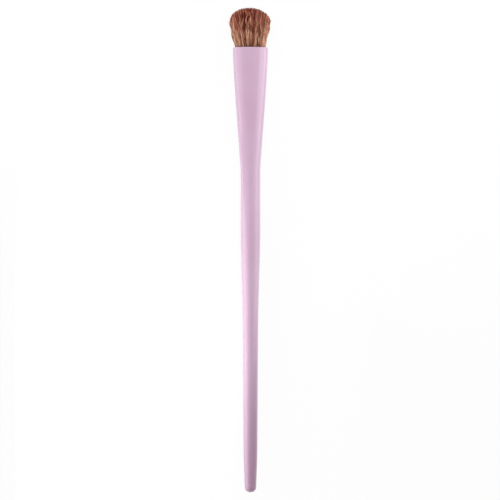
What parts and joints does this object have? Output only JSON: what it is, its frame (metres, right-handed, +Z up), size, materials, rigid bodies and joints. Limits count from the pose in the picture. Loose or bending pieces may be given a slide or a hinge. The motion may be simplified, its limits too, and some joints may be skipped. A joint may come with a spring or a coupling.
{
  "type": "eyeshadow brush",
  "caption": "Slim make-up brush: a moulded handle that flares into a flat oval mouth, holding a domed, fluffy hair tuft glued into a hidden sleeve, for blending eyeshadow.",
  "frame": {"origin": "on the surface that the brush lies on, under the middle of its length and width", "axes": "+Y along the brush from the tail to the hair, +X across the wide mouth, +Z up, out of its flat face"},
  "size_m": [0.0132, 0.16, 0.0066],
  "materials": {
    "lilac_plastic": "satin, finely moulded",
    "drawn_aluminium": "drawn",
    "adhesive": "matt",
    "resin": "clear amber",
    "thread": "wound",
    "hair": "soft, reddish brown"
  },
  "bodies": {
    "root": {"handle": "lilac_plastic", "inner_ferrule": "drawn_aluminium", "bond_glue": "adhesive", "root_glue": "resin", "root_binding": "thread", "hair_tuft": "hair"}
  },
  "joints": []
}
